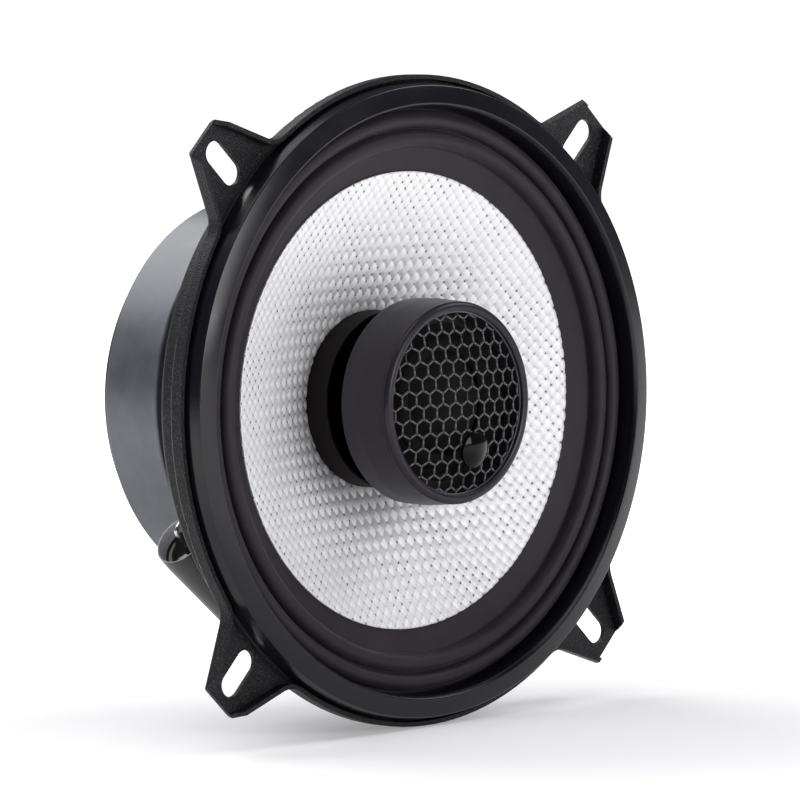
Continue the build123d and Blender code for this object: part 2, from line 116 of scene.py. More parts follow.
def place_camera():
    """Stands the camera at the front left and makes it the scene's."""
    back = Vector((
        -math.sin(CAMERA_AZIMUTH) * math.cos(CAMERA_ELEVATION),
        -math.cos(CAMERA_AZIMUTH) * math.cos(CAMERA_ELEVATION),
        math.sin(CAMERA_ELEVATION),
    ))
    level = Vector((0, 0, 1)).cross(back).normalized()
    upright = back.cross(level)
    right = math.cos(CAMERA_ROLL) * level + math.sin(CAMERA_ROLL) * upright
    up = back.cross(right)
    lens = bpy.data.cameras.new("camera")
    lens.lens = CAMERA_LENS
    lens.clip_start = 0.05
    lens.clip_end = 100
    camera = bpy.data.objects.new("camera", lens)
    turn = Matrix((right, up, back)).transposed().to_4x4()
    camera.matrix_world = Matrix.Translation(CAMERA_AIM + CAMERA_DISTANCE * back) @ turn
    bpy.context.scene.collection.objects.link(camera)
    bpy.context.scene.camera = camera


def soft_light(name, place, size, power):
    """A rectangular studio softbox at a place, turned towards the speaker."""
    lamp = bpy.data.lights.new(name, "AREA")
    lamp.shape = "RECTANGLE"
    lamp.size, lamp.size_y = size
    lamp.energy = power
    box = bpy.data.objects.new(name, lamp)
    box.location = place
    box.rotation_euler = (-Vector(place)).to_track_quat("-Z", "Y").to_euler()
    bpy.context.scene.collection.objects.link(box)


FLOOR_RADIUS = 40.0
FLOOR_SIDES = 64
FLOOR_WHITE = (0.84, 0.84, 0.84, 1)
# the floor glows faintly round the speaker and fully farther off, so that it stays white
GLOW_NEAR, GLOW_FAR = 0.26, 1.0
GLOW_START, GLOW_END = 0.09, 0.28
SKY_LEVEL = 0.14
SKY_TINT = (0.94, 0.94, 1.20, 1)
# name, place, width and height, power in watts
SOFTBOXES = (
    ("overhead", (-0.30, 0.1, 1.2), (1.3, 1.0), 8),
    ("front", (0.10, -1.70, 0.40), (0.9, 0.6), 13),
    ("right", (1.15, -0.60, 1.05), (0.8, 0.6), 6),
    ("behind", (-0.10, 1.10, 0.95), (1.5, 0.6), 12),
)


def make_floor():
    """A plain white table that the speaker's rim stands on."""
    mesh = bpy.data.meshes.new("floor")
    rim = [
        (FLOOR_RADIUS * math.cos(a), FLOOR_RADIUS * math.sin(a), cad_low[2])
        for a in np.linspace(0, 2 * math.pi, FLOOR_SIDES, endpoint=False)
    ]
    mesh.from_pydata(rim, [], [range(len(rim))])
    floor = bpy.data.objects.new("floor", mesh)
    bpy.context.scene.collection.objects.link(floor)
    paint = Paint("floor_white", base=FLOOR_WHITE, roughness=0.9, specular=0.0)
    paint.surface.inputs["Emission Color"].default_value = (1, 1, 1, 1)
    away = paint.node("ShaderNodeVectorMath", {0: paint.place}, operation="LENGTH").outputs["Value"]
    glow = paint.span(away, GLOW_NEAR, GLOW_FAR, GLOW_START, GLOW_END, True)
    paint.put(paint.surface.inputs["Emission Strength"], glow)
    mesh.materials.append(paint.material)


def light_the_room():
    """A dim, slightly blue sky, and softboxes overhead, in front, at the right and behind."""
    world = bpy.data.worlds.new("studio")
    world.use_nodes = True
    sky = world.node_tree.nodes["Background"]
    sky.inputs["Color"].default_value = SKY_TINT
    sky.inputs["Strength"].default_value = SKY_LEVEL
    bpy.context.scene.world = world
    for name, place, size, power in SOFTBOXES:
        soft_light(name, place, size, power)
    bpy.context.scene.view_settings.view_transform = "Standard"


# ---------------------------------------------------------------- materials
SOCKETS = {
    "base": "Base Color",
    "metallic": "Metallic",
    "roughness": "Roughness",
    "specular": "Specular IOR Level",
    "anisotropic": "Anisotropic",
    "sheen": "Sheen Weight",
    "sheen_roughness": "Sheen Roughness",
    "normal": "Normal",
    "tangent": "Tangent",
}


class Paint:
    """A node material: constants go straight on the shader's sockets, patterns through nodes."""

    def __init__(self, name, **constants):
        self.material = bpy.data.materials.new(name)
        self.material.use_nodes = True
        self.tree = self.material.node_tree
        self.surface = self.tree.nodes["Principled BSDF"]
        self.place = self.node("ShaderNodeTexCoord").outputs["Object"]
        self.set(**constants)

    def set(self, **sockets):
        for key, value in sockets.items():
            self.put(self.surface.inputs[SOCKETS[key]], value)

    def put(self, socket, value):
        if isinstance(value, bpy.types.NodeSocket):
            self.tree.links.new(value, socket)
        else:
            socket.default_value = value

    def node(self, kind, inputs=(), **settings):
        node = self.tree.nodes.new(kind)
        for key, value in settings.items():
            setattr(node, key, value)
        for socket, value in dict(inputs).items():
            self.put(node.inputs[socket], value)
        return node

    def math(self, operation, *values):
        node = self.node("ShaderNodeMath", operation=operation)
        for socket, value in zip(node.inputs, values):
            self.put(socket, value)
        return node.outputs[0]

    def split(self):
        """The object's x, y and z as three numbers."""
        return self.node("ShaderNodeSeparateXYZ", {"Vector": self.place}).outputs

    def join(self, x, y, z):
        return self.node("ShaderNodeCombineXYZ", {"X": x, "Y": y, "Z": z}).outputs[0]

    def noise(self, size, detail=3.0, rough=0.55, place=None):
        """Cloudy noise from 0 to 1 whose blots are about this size."""
        return self.node("ShaderNodeTexNoise", {
            "Vector": place or self.place,
            "Scale": 1 / size,
            "Detail": detail,
            "Roughness": rough,
        }).outputs["Fac"]

    def cells(self, size):
        """Distance to the nearest of scattered points this far apart."""
        return self.node("ShaderNodeTexVoronoi", {
            "Vector": self.place,
            "Scale": 1 / size,
        }).outputs["Distance"]

    def span(self, value, low, high, from_low=0.0, from_high=1.0, smooth=False):
        """Carries a value from one range to another."""
        return self.node("ShaderNodeMapRange", {
            "Value": value,
            "From Min": from_low,
            "From Max": from_high,
            "To Min": low,
            "To Max": high,
        }, interpolation_type="SMOOTHSTEP" if smooth else "LINEAR").outputs["Result"]

    def blend(self, share, first, second):
        """Mixes two colours."""
        node = self.node("ShaderNodeMix", data_type="RGBA")
        self.put(node.inputs["Factor"], share)
        self.put(node.inputs["A"], first)
        self.put(node.inputs["B"], second)
        return node.outputs["Result"]

    def bump(self, height, depth, normal=None):
        """Raises the surface by this depth where the height is 1."""
        inputs = {"Height": height, "Distance": depth, "Strength": 1.0}
        if normal is not None:
            inputs["Normal"] = normal
        return self.node("ShaderNodeBump", inputs).outputs["Normal"]


def grey(level, warm=0.0):
    """A grey, pushed slightly to red (above 0) or to blue (below 0)."""
    return (level * (1 + warm), level, level * (1 - warm), 1)


def ink(level, warm=0.0):
    """A black with a slight violet cast."""
    return (level * (1.06 + warm), level * 0.94, level * (1.26 - warm), 1)


def painted_steel():
    """Black textured powder coat: fine glossy grains that glint, over pressed steel; its lighter grey
    specks are painted glints.
    """
    paint = Paint("basket_coat", specular=0.19)
    grains = paint.cells(0.34 * MM)
    fine = paint.noise(0.16 * MM, 4, 0.65)
    wear = paint.noise(9 * MM, 5, 0.6)
    speck = paint.noise(0.42 * MM, 2, 0.7)
    tone = paint.span(wear, 0.0, 1.0, 0.35, 0.7)
    coat = paint.blend(tone, ink(0.003), ink(0.008))
    # painted glints: lighter grey specks blended into the coat's colour
    paint.set(base=paint.blend(paint.span(speck, 0.0, 1.0, 0.54, 0.70), coat, grey(0.048, 0.05)))
    paint.set(roughness=paint.span(fine, 0.30, 0.56, 0.3, 0.7))
    relief = paint.bump(grains, 0.09 * MM)
    paint.set(normal=paint.bump(fine, 0.04 * MM, relief))
    return paint.material


def satin_plastic(name, level, warm=0.0, roughness=0.42, grain=0.12 * MM, depth=0.006 * MM,
                  specular=0.22):
    """Moulded black plastic with a fine spark-eroded grain and slow changes of gloss."""
    paint = Paint(name, specular=specular)
    fine = paint.noise(grain, 3, 0.6)
    slow = paint.noise(14 * MM, 3, 0.5)
    mottled = paint.noise(1.1 * MM, 4, 0.6)
    tone = paint.span(mottled, 0.0, 1.0, 0.3, 0.7)
    paint.set(base=paint.blend(tone, ink(level * 0.85, warm), ink(level * 1.15, warm)))
    gloss = paint.span(slow, roughness - 0.05, roughness + 0.06, 0.35, 0.65)
    paint.set(roughness=gloss, normal=paint.bump(fine, depth))
    return paint.material


def rubber():
    """Matte butyl rubber with a faint bloom and very fine pitting."""
    paint = Paint("rubber", specular=0.22, sheen=0.05, sheen_roughness=0.45)
    bloom = paint.noise(7 * MM, 5, 0.6)
    speck = paint.noise(0.35 * MM, 3, 0.7)
    tone = paint.span(bloom, 0.0, 1.0, 0.35, 0.68)
    colour = paint.blend(tone, (0.0120, 0.0094, 0.0128, 1), (0.0194, 0.0154, 0.0206, 1))
    paint.set(base=colour, roughness=paint.span(bloom, 0.50, 0.60, 0.3, 0.7))
    paint.set(normal=paint.bump(speck, 0.012 * MM))
    return paint.material


# the cone's cloth: yarns cross at about 45 degrees, drawn slightly upright by the pressing
WEAVE_ACROSS = 2.36 * MM
WEAVE_UP = 2.62 * MM


def woven_glass():
    """Glass-fibre cloth set in resin: every yarn shines along its own fibres."""
    paint = Paint("woven_glass", metallic=0.12, specular=0.8, anisotropic=0.75)
    x, _, z = paint.split()
    across = paint.math("DIVIDE", x, WEAVE_ACROSS)
    upward = paint.math("DIVIDE", z, WEAVE_UP)
    first = paint.math("SUBTRACT", across, upward)
    second = paint.math("ADD", across, upward)
    cell_sum = paint.math("ADD", paint.math("FLOOR", first), paint.math("FLOOR", second))
    odd = paint.math("FLOORED_MODULO", cell_sum, 2.0)
    first_part = paint.math("ABSOLUTE", paint.math("SUBTRACT", paint.math("FRACT", first), 0.5))
    second_part = paint.math("ABSOLUTE", paint.math("SUBTRACT", paint.math("FRACT", second), 0.5))
    # fibres run along the yarn that lies on top in this cell
    fibre_scale, along_scale = 34.0, 1.4     # noise blots to a yarn's width, and to its length
    wide_first = paint.join(paint.math("MULTIPLY", first, fibre_scale),
                            paint.math("MULTIPLY", second, along_scale), 0.0)
    wide_second = paint.join(paint.math("MULTIPLY", second, fibre_scale),
                             paint.math("MULTIPLY", first, along_scale), 7.0)
    top_place = paint.node("ShaderNodeMix", data_type="VECTOR")
    paint.put(top_place.inputs["Factor"], odd)
    paint.put(top_place.inputs[4], wide_first)
    paint.put(top_place.inputs[5], wide_second)
    fibres = paint.noise(1.0, 2, 0.6, top_place.outputs[1])
    run = paint.node("ShaderNodeMix", data_type="VECTOR")
    paint.put(run.inputs["Factor"], odd)
    run.inputs[4].default_value = Vector((WEAVE_ACROSS, 0, WEAVE_UP)).normalized()
    run.inputs[5].default_value = Vector((WEAVE_ACROSS, 0, -WEAVE_UP)).normalized()
    # painted shade: dark dots in the gaps where four yarns meet, and darker colour where each yarn dips
    # under
    corner = paint.math("MINIMUM", first_part, second_part)
    side = paint.math("MAXIMUM", first_part, second_part)
    gap_shade = paint.span(corner, 0.0, 1.0, 0.34, 0.42, True)
    dip_shade = paint.span(side, 0.0, 1.0, 0.38, 0.5, True)
    cloth = paint.blend(paint.span(fibres, 0.0, 1.0, 0.3, 0.7), grey(0.66), grey(0.93))
    blotch = paint.noise(11 * MM, 3, 0.5)
    open_here = paint.span(paint.noise(5 * MM, 2, 0.5), 0.12, 1.0, 0.42, 0.62)
    cloth = paint.blend(paint.span(blotch, 0.0, 0.16, 0.35, 0.7), cloth, grey(0.52, 0.02))
    # painted shade: one family of yarns is painted darker, as if it caught less light, most of all where
    # the cloth is drawn to the neck
    out = paint.node("ShaderNodeVectorMath", {0: paint.place}, operation="LENGTH").outputs["Value"]
    dim_yarn_shade = paint.math("MULTIPLY", odd, paint.span(out, 0.80, 0.08, 20 * MM, 42 * MM, True))
    cloth = paint.blend(dim_yarn_shade, cloth, grey(0.36))
    # painted shade: each yarn darker where it dips under the next
    cloth = paint.blend(paint.math("MULTIPLY", dip_shade, 0.26), cloth, grey(0.22))
    # painted shade: dark dots in the gaps where four yarns meet, shown where open_here lets them open
    cloth = paint.blend(paint.math("MULTIPLY", gap_shade, open_here), cloth, grey(0.025, 0.1))
    paint.set(base=cloth, tangent=run.outputs[1])
    paint.set(roughness=paint.span(fibres, 0.30, 0.44, 0.3, 0.7))
    paint.set(normal=paint.bump(fibres, 0.02 * MM))
    return paint.material


def plated_steel(name, tint=(0.52, 0.52, 0.53, 1), roughness=0.28):
    """Bright zinc plating, slightly cloudy."""
    paint = Paint(name, metallic=1.0)
    cloud = paint.noise(1.6 * MM, 4, 0.6)
    dark = tuple(0.7 * c for c in tint[:3]) + (1,)
    paint.set(base=paint.blend(paint.span(cloud, 0.0, 1.0, 0.3, 0.7), dark, tint))
    paint.set(roughness=paint.span(cloud, roughness - 0.06, roughness + 0.12, 0.3, 0.7))
    paint.set(normal=paint.bump(paint.noise(0.15 * MM, 2), 0.004 * MM))
    return paint.material


def coated_ferrite():
    """The magnet's satin grey coat, with faint turning marks round it."""
    paint = Paint("magnet_coat", metallic=0.35, specular=0.5)
    _, y, _ = paint.split()
    rings = paint.noise(0.12 * MM, 3, 0.6, paint.join(0.0, y, 0.0))
    cloud = paint.noise(6 * MM, 5, 0.6)
    tone = paint.span(cloud, 0.0, 1.0, 0.3, 0.7)
    paint.set(base=paint.blend(tone, (0.083, 0.087, 0.096, 1), (0.117, 0.123, 0.136, 1)))
    paint.set(roughness=paint.span(cloud, 0.34, 0.44, 0.3, 0.7))
    grit = paint.bump(paint.noise(0.3 * MM, 3), 0.01 * MM)
    paint.set(normal=paint.bump(rings, 0.008 * MM, grit))
    return paint.material


def black_motor_steel():
    """Black-passivated turned steel."""
    paint = Paint("motor_steel", metallic=0.55, specular=0.5)
    x, _, z = paint.split()
    radius = paint.math("SQRT", paint.math("ADD", paint.math("MULTIPLY", x, x),
                                           paint.math("MULTIPLY", z, z)))
    turned = paint.noise(0.25 * MM, 2, 0.5, paint.join(radius, 0.0, 0.0))
    cloud = paint.noise(5 * MM, 5, 0.6)
    tone = paint.span(cloud, 0.0, 1.0, 0.3, 0.7)
    paint.set(base=paint.blend(tone, grey(0.035, -0.03), grey(0.065, -0.05)))
    paint.set(roughness=paint.span(cloud, 0.30, 0.45, 0.3, 0.7))
    paint.set(normal=paint.bump(turned, 0.012 * MM))
    return paint.material


def wound_wire():
    """Enamelled copper, wound turn beside turn."""
    paint = Paint("wound_wire", metallic=0.9)
    _, y, _ = paint.split()
    turn = paint.math("SINE", paint.math("MULTIPLY", y, 2 * math.pi / (0.32 * MM)))
    cloud = paint.noise(2 * MM, 3)
    paint.set(base=paint.blend(cloud, (0.42, 0.17, 0.07, 1), (0.62, 0.30, 0.13, 1)))
    paint.set(roughness=paint.span(cloud, 0.22, 0.35), normal=paint.bump(turn, 0.06 * MM))
    return paint.material


def film(name, colour, roughness=0.35, specular=0.5):
    """Dark heat-proof film, with faint streaks."""
    paint = Paint(name, specular=specular)
    streak = paint.noise(1.2 * MM, 4, 0.6)
    light = tuple(1.5 * c for c in colour[:3]) + (1,)
    paint.set(base=paint.blend(paint.span(streak, 0.0, 1.0, 0.3, 0.7), colour, light))
    paint.set(roughness=paint.span(streak, roughness, roughness + 0.15))
    paint.set(normal=paint.bump(paint.noise(0.2 * MM, 2), 0.006 * MM))
    return paint.material


def capacitor_tape():
    """Dark grey wrapping tape, bare and milky inside where its ends stand past the roll."""
    paint = Paint("capacitor_tape", specular=0.45)
    x, y, z = paint.split()
    middle = capacitor_middle()
    along = 0.0
    for value, start, slope in zip((x, y, z), middle, CAPACITOR_AXIS):
        step = paint.math("MULTIPLY", paint.math("SUBTRACT", value, start), slope)
        along = paint.math("ADD", along, step)
    from_middle = paint.math("ABSOLUTE", along)
    waver = paint.math("MULTIPLY", paint.math("SUBTRACT", paint.noise(5 * MM, 2), 0.5), 1.2 * MM)
    edge = paint.math("ADD", from_middle, waver)
    offset = paint.node("ShaderNodeVectorMath", {0: paint.place, 1: middle}, operation="SUBTRACT")
    reach_out = paint.node("ShaderNodeVectorMath", {0: offset.outputs[0]}, operation="LENGTH")
    far_off = paint.math("POWER", reach_out.outputs["Value"], 2.0)
    across = paint.math("SQRT", paint.math("SUBTRACT", far_off, paint.math("POWER", from_middle, 2.0)))
    inside = paint.span(across, 1.0, 0.0, CAPACITOR_RADIUS - 0.40 * MM, CAPACITOR_RADIUS - 0.28 * MM)
    near_end = paint.span(edge, 0.0, 1.0, CAPACITOR_HALF - 3.6 * MM, CAPACITOR_HALF - 3.0 * MM)
    milky = paint.math("MULTIPLY", near_end, inside)
    streak = paint.noise(1.2 * MM, 4, 0.6)
    tape = paint.blend(streak, (0.022, 0.020, 0.018, 1), (0.040, 0.038, 0.034, 1))
    bare = paint.blend(streak, (0.40, 0.40, 0.43, 1), (0.66, 0.66, 0.71, 1))
    paint.set(base=paint.blend(milky, tape, bare))
    paint.set(roughness=paint.span(streak, 0.24, 0.40))
    paint.set(normal=paint.bump(paint.noise(0.5 * MM, 3), 0.02 * MM))
    return paint.material


def dipped_cloth(name, dark, light, pitch=0.7 * MM, roughness=0.7, sheen=0.0):
    """Open cloth stiffened with resin: a square weave in x and z."""
    paint = Paint(name, specular=0.2, sheen=sheen, sheen_roughness=0.5)
    x, _, z = paint.split()
    wave_x = paint.math("SINE", paint.math("MULTIPLY", x, 2 * math.pi / pitch))
    wave_z = paint.math("SINE", paint.math("MULTIPLY", z, 2 * math.pi / pitch))
    weave = paint.math("MULTIPLY", wave_x, wave_z)
    stain = paint.noise(4 * MM, 4, 0.6)
    colour = paint.blend(paint.span(stain, 0.0, 1.0, 0.3, 0.7), dark, light)
    paint.set(base=paint.blend(paint.span(weave, 0.0, 0.4, -1.0, 1.0), colour, dark))
    paint.set(roughness=paint.span(stain, roughness - 0.08, roughness + 0.08))
    paint.set(normal=paint.bump(weave, 0.10 * MM))
    return paint.material


def gloss_black(name, level=0.006, roughness=0.10, specular=0.5):
    """Polished black with the odd speck of dust and a slight orange peel."""
    paint = Paint(name, specular=specular)
    dust = paint.noise(0.3 * MM, 2, 0.8)
    peel = paint.noise(1.8 * MM, 2)
    paint.set(base=paint.blend(paint.span(dust, 0.0, 0.25, 0.66, 0.8), grey(level), grey(0.08)))
    paint.set(roughness=paint.span(dust, roughness, roughness + 0.15, 0.5, 0.8))
    paint.set(normal=paint.bump(peel, 0.012 * MM))
    return paint.material


def braid(name, dark, light):
    """Fine strands laid crosswise, for tinsel wire."""
    paint = Paint(name, metallic=0.8)
    x, y, z = paint.split()
    slope = paint.math("ADD", paint.math("ADD", x, y), z)
    strands = paint.math("SINE", paint.math("MULTIPLY", slope, 2 * math.pi / (0.35 * MM)))
    paint.set(base=paint.blend(paint.span(strands, 0.0, 1.0, -1.0, 1.0), dark, light))
    paint.set(roughness=paint.span(paint.noise(0.5 * MM), 0.3, 0.5))
    paint.set(normal=paint.bump(strands, 0.05 * MM))
    return paint.material


def make_paints():
    """One material for each of the record's slots."""
    return {
        "basket_steel": painted_steel(),
        "plated_steel": plated_steel("zinc"),
        "motor_steel": black_motor_steel(),
        "ferrite": coated_ferrite(),
        "woven_cone": woven_glass(),
        "former": film("former_film", (0.0060, 0.0042, 0.0040, 1), 0.5, 0.14),
        "copper": wound_wire(),
        "rubber": rubber(),
        "spider_cloth": dipped_cloth("spider_cloth", (0.16, 0.11, 0.04, 1), (0.36, 0.27, 0.12, 1),
                                     sheen=0.2),
        "trim_plastic": satin_plastic("trim_plastic", 0.0045, 0.02, roughness=0.21, specular=0.34),
        "post_plastic": satin_plastic("post_plastic", 0.004, 0.1, roughness=0.45, specular=0.15),
        "can_plastic": satin_plastic("can_plastic", 0.019, 0.06, roughness=0.42),
        "bezel_plastic": satin_plastic("bezel_plastic", 0.014, 0.04, roughness=0.30),
        "grille": gloss_black("grille_gloss", 0.046, 0.18),
        "badge": gloss_black("badge_gloss", 0.0025, 0.06, specular=0.14),
        "neodymium": plated_steel("nickel", (0.62, 0.60, 0.57, 1), 0.2),
        "silk": dipped_cloth("silk", (0.003, 0.0022, 0.0025, 1), (0.010, 0.007, 0.008, 1),
                             0.25 * MM, 0.5),
        "board": satin_plastic("pressed_board", 0.02, 0.15, roughness=0.6, depth=0.02 * MM),
        "tin_plate": plated_steel("tin", (0.66, 0.66, 0.64, 1), 0.24),
        "capacitor_film": capacitor_tape(),
        "capacitor_core": film("capacitor_core", (0.08, 0.08, 0.08, 1), 0.4),
        "epoxy": gloss_black("epoxy", 0.004, 0.06),
        "lead_wire": plated_steel("tinned_wire", (0.64, 0.62, 0.58, 1), 0.2),
        "adhesive": satin_plastic("adhesive", 0.01, roughness=0.3, grain=1.2 * MM, depth=0.1 * MM),
        "insulation": satin_plastic("insulation", 0.012, roughness=0.38),
        "tinsel": braid("tinsel", (0.30, 0.15, 0.07, 1), (0.62, 0.42, 0.24, 1)),
    }


# ---------------------------------------------------------------- mesh helpers
def link_mesh(name, verts, faces, slot):
    """A new smooth-shaded object of this shape, painted as one of the record's slots."""
    mesh = bpy.data.meshes.new(name)
    mesh.from_pydata([tuple(v) for v in verts], [], [tuple(f) for f in faces])
    mesh.validate()
    mesh.polygons.foreach_set("use_smooth", [True] * len(mesh.polygons))
    mesh.materials.append(paints[slot])
    piece = bpy.data.objects.new(name, mesh)
    bpy.context.scene.collection.objects.link(piece)
    return piece


def arc(start, middle, end, steps):
    """Points of the arc through three (radius, forward) points, its start left out."""
    (ax, ay), (bx, by), (cx, cy) = start, middle, end
    d = 2 * (ax * (by - cy) + bx * (cy - ay) + cx * (ay - by))
    ux = ((ax**2 + ay**2) * (by - cy) + (bx**2 + by**2) * (cy - ay) + (cx**2 + cy**2) * (ay - by)) / d
    uy = ((ax**2 + ay**2) * (cx - bx) + (bx**2 + by**2) * (ax - cx) + (cx**2 + cy**2) * (bx - ax)) / d
    radius = math.hypot(ax - ux, ay - uy)
    a0 = math.atan2(ay - uy, ax - ux)
    am = math.atan2(by - uy, bx - ux)
    a1 = math.atan2(cy - uy, cx - ux)
    turn = (a1 - a0) % (2 * math.pi)
    if (am - a0) % (2 * math.pi) > turn:
        turn -= 2 * math.pi
    return [
        (ux + radius * math.cos(a0 + turn * k / steps), uy + radius * math.sin(a0 + turn * k / steps))
        for k in range(1, steps + 1)
    ]


def eased(line, radius, steps=5, closed=False):
    """A run of (radius, along) points with each corner rounded off by about this radius."""
    points = [np.array(point, float) for point in line]
    if closed:
        points = [points[-1], *points, points[0]]
    result = [] if closed else [points[0]]
    for before, corner, after in zip(points, points[1:], points[2:]):
        back, on = before - corner, after - corner
        start = corner + back * min(1, 2 * radius / np.linalg.norm(back)) / 2
        end = corner + on * min(1, 2 * radius / np.linalg.norm(on)) / 2
        for t in np.linspace(0, 1, steps + 1):
            result.append((1 - t) ** 2 * start + 2 * t * (1 - t) * corner + t**2 * end)
    if not closed:
        result.append(points[-1])
    return result


def sheet_outline(line, thickness):
    """The closed outline of a sheet this thick that lies to the left of a run of points."""
    points = np.array(line)
    ahead = np.gradient(points, axis=0)
    left = np.stack([-ahead[:, 1], ahead[:, 0]], axis=1)
    left /= np.linalg.norm(left, axis=1, keepdims=True)
    return np.concatenate([points, (points + thickness * left)[::-1]])


def lathe(name, outline, slot, origin=(0, 0, 0), axis=(0, -1, 0), around=180):
    """A closed (radius, along) outline turned about an axis, which is the speaker's at first."""
    axis = Vector(axis).normalized()
    across = axis.orthogonal().normalized()
    beside = axis.cross(across)
    turns = np.linspace(0, 2 * math.pi, around, endpoint=False)
    spokes = np.outer(np.cos(turns), across) + np.outer(np.sin(turns), beside)
    outline = np.array([tuple(point) for point in outline])
    verts = spokes[:, None] * outline[:, :1] + outline[:, 1:] * np.array(axis) + np.array(origin)
    verts = verts.reshape(-1, 3)
    count = len(outline)
    faces = []
    for k in range(around):
        here, there = k * count, (k + 1) % around * count
        for n in range(count):
            m = (n + 1) % count
            faces.append((here + n, here + m, there + m, there + n))
    piece = link_mesh(name, verts, faces, slot)
    shape = bmesh.new()
    shape.from_mesh(piece.data)
    bmesh.ops.remove_doubles(shape, verts=shape.verts, dist=1e-7)
    bmesh.ops.recalc_face_normals(shape, faces=shape.faces)
    if shape.calc_volume(signed=True) < 0:
        bmesh.ops.reverse_faces(shape, faces=shape.faces)
    shape.to_mesh(piece.data)
    shape.free()
    return piece


def stand_for(piece, body, *nodes):
    """Makes a piece ride on a body in place of these CAD nodes."""
    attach(piece, body)
    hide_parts(*nodes)


def blend_by_radius(piece):
    """Bakes a ring's placement into its mesh and reads out its points."""
    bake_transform(piece)
    count = len(piece.data.vertices)
    points = np.empty(3 * count, np.float32)
    piece.data.vertices.foreach_get("co", points)
    points = points.reshape(-1, 3)


# ---------------------------------------------------------------- the cone's woven skin
CONE_EDGE = 45.2 * MM
NECK_FORWARD = -11.0 * MM                # the cone's front at its neck and at its edge
EDGE_FORWARD = -0.5 * MM
NECK_OVERLAP = 0.35 * MM                 # how far the cloth reaches into the former's wall
CLOTH_EDGE = 45.45 * MM                  # the cloth is cut here and lies on the surround
CLOTH_THICKNESS = 0.6 * MM
SEAT_FRONT = 1.7 * MM                    # where the surround's foot lies in the basket
RUBBER = 0.8 * MM
YARN_SWING = 0.16 * MM                   # how far a yarn rises and dips as it crosses others
YARN_CROWN = 0.24 * MM                   # how round it is across its width
YARN_SAMPLES = 6                         # mesh steps to each yarn
NUDGE = 1e-6                             # in yarns


def cone_forward(radius):
    """How far forward the cone's front lies at this radius."""
    neck = reach("coil_former")
    return NECK_FORWARD + (EDGE_FORWARD - NECK_FORWARD) * (radius - neck) / (CONE_EDGE - neck)


def weave_height(first, second):
    """How far the plain weave stands out at these yarn numbers."""
    a = np.mod(first, 1.0) - 0.5
    b = np.mod(second, 1.0) - 0.5
    over = np.where((np.floor(first) + np.floor(second)) % 2 == 0, 1.0, -1.0)
    round_a = np.sqrt(np.clip(1 - (2 * a) ** 2, 0, 1))
    round_b = np.sqrt(np.clip(1 - (2 * b) ** 2, 0, 1))
    one = over * YARN_SWING * np.cos(np.pi * b) + YARN_CROWN * round_a
    other = -over * YARN_SWING * np.cos(np.pi * a) + YARN_CROWN * round_b
    return np.maximum(one, other)


def make_cone():
    """The cone's cloth as a solid sheet with its yarns standing out in front."""
    neck = reach("coil_former") - NECK_OVERLAP
    far = CLOTH_EDGE
    steps = int(2 * far / min(WEAVE_ACROSS, WEAVE_UP) * 1.5) * YARN_SAMPLES
    line = np.arange(-steps, steps + 1) / YARN_SAMPLES
    first, second = np.meshgrid(line, line, indexing="ij")
    x = (first + second) / 2 * WEAVE_ACROSS
    z = (second - first) / 2 * WEAVE_UP
    radius = np.hypot(x, z)
    kept = (radius >= neck) & (radius <= far)
    cells = kept[:-1, :-1] & kept[1:, :-1] & kept[1:, 1:] & kept[:-1, 1:]
    number = np.full(kept.shape, -1)
    used = np.zeros_like(kept)
    for di in (0, 1):
        for dj in (0, 1):
            used[di:di + cells.shape[0], dj:dj + cells.shape[1]] |= cells
    number[used] = np.arange(used.sum())
    # nudged inwards so that a sample on a yarn's border belongs to one side of it
    relief = weave_height(first + NUDGE, second + NUDGE)
    # the sheet's own edges are drawn out to true circles
    whole = np.zeros_like(kept)
    inner = cells[:-1, :-1] & cells[1:, :-1] & cells[:-1, 1:] & cells[1:, 1:]
    whole[1:-1, 1:-1] = inner
    cut = used & ~whole
    target = np.where(radius > (neck + far) / 2, far, neck)
    stretch = np.where(cut, target / np.maximum(radius, neck / 2), 1.0)
    x, z = x * stretch, z * stretch
    depth = cone_forward(np.hypot(x, z))
    front = np.stack([x[used], -(depth + relief - YARN_CROWN)[used], z[used]], axis=1)
    back = np.stack([x[used], -(depth - CLOTH_THICKNESS)[used], z[used]], axis=1)
    rows, columns = np.nonzero(cells)
    quads = np.stack([
        number[rows, columns], number[rows, columns + 1],
        number[rows + 1, columns + 1], number[rows + 1, columns],
    ], axis=1)
    count = len(front)
    verts = np.concatenate([front, back])
    faces = np.concatenate([quads, quads[:, ::-1] + count])
    piece = link_mesh("cone_cloth", verts, faces, "woven_cone")
    shape = bmesh.new()
    shape.from_mesh(piece.data)
    shape.verts.ensure_lookup_table()
    rim = [e for e in shape.edges if e.is_boundary and e.verts[0].index < count]
    for edge in rim:
        a, b = edge.verts
        shape.faces.new((a, b, shape.verts[b.index + count], shape.verts[a.index + count]))
    bmesh.ops.recalc_face_normals(shape, faces=shape.faces)
    shape.to_mesh(piece.data)
    shape.free()
    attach(piece, CONE_BODY)
    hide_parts("cone")


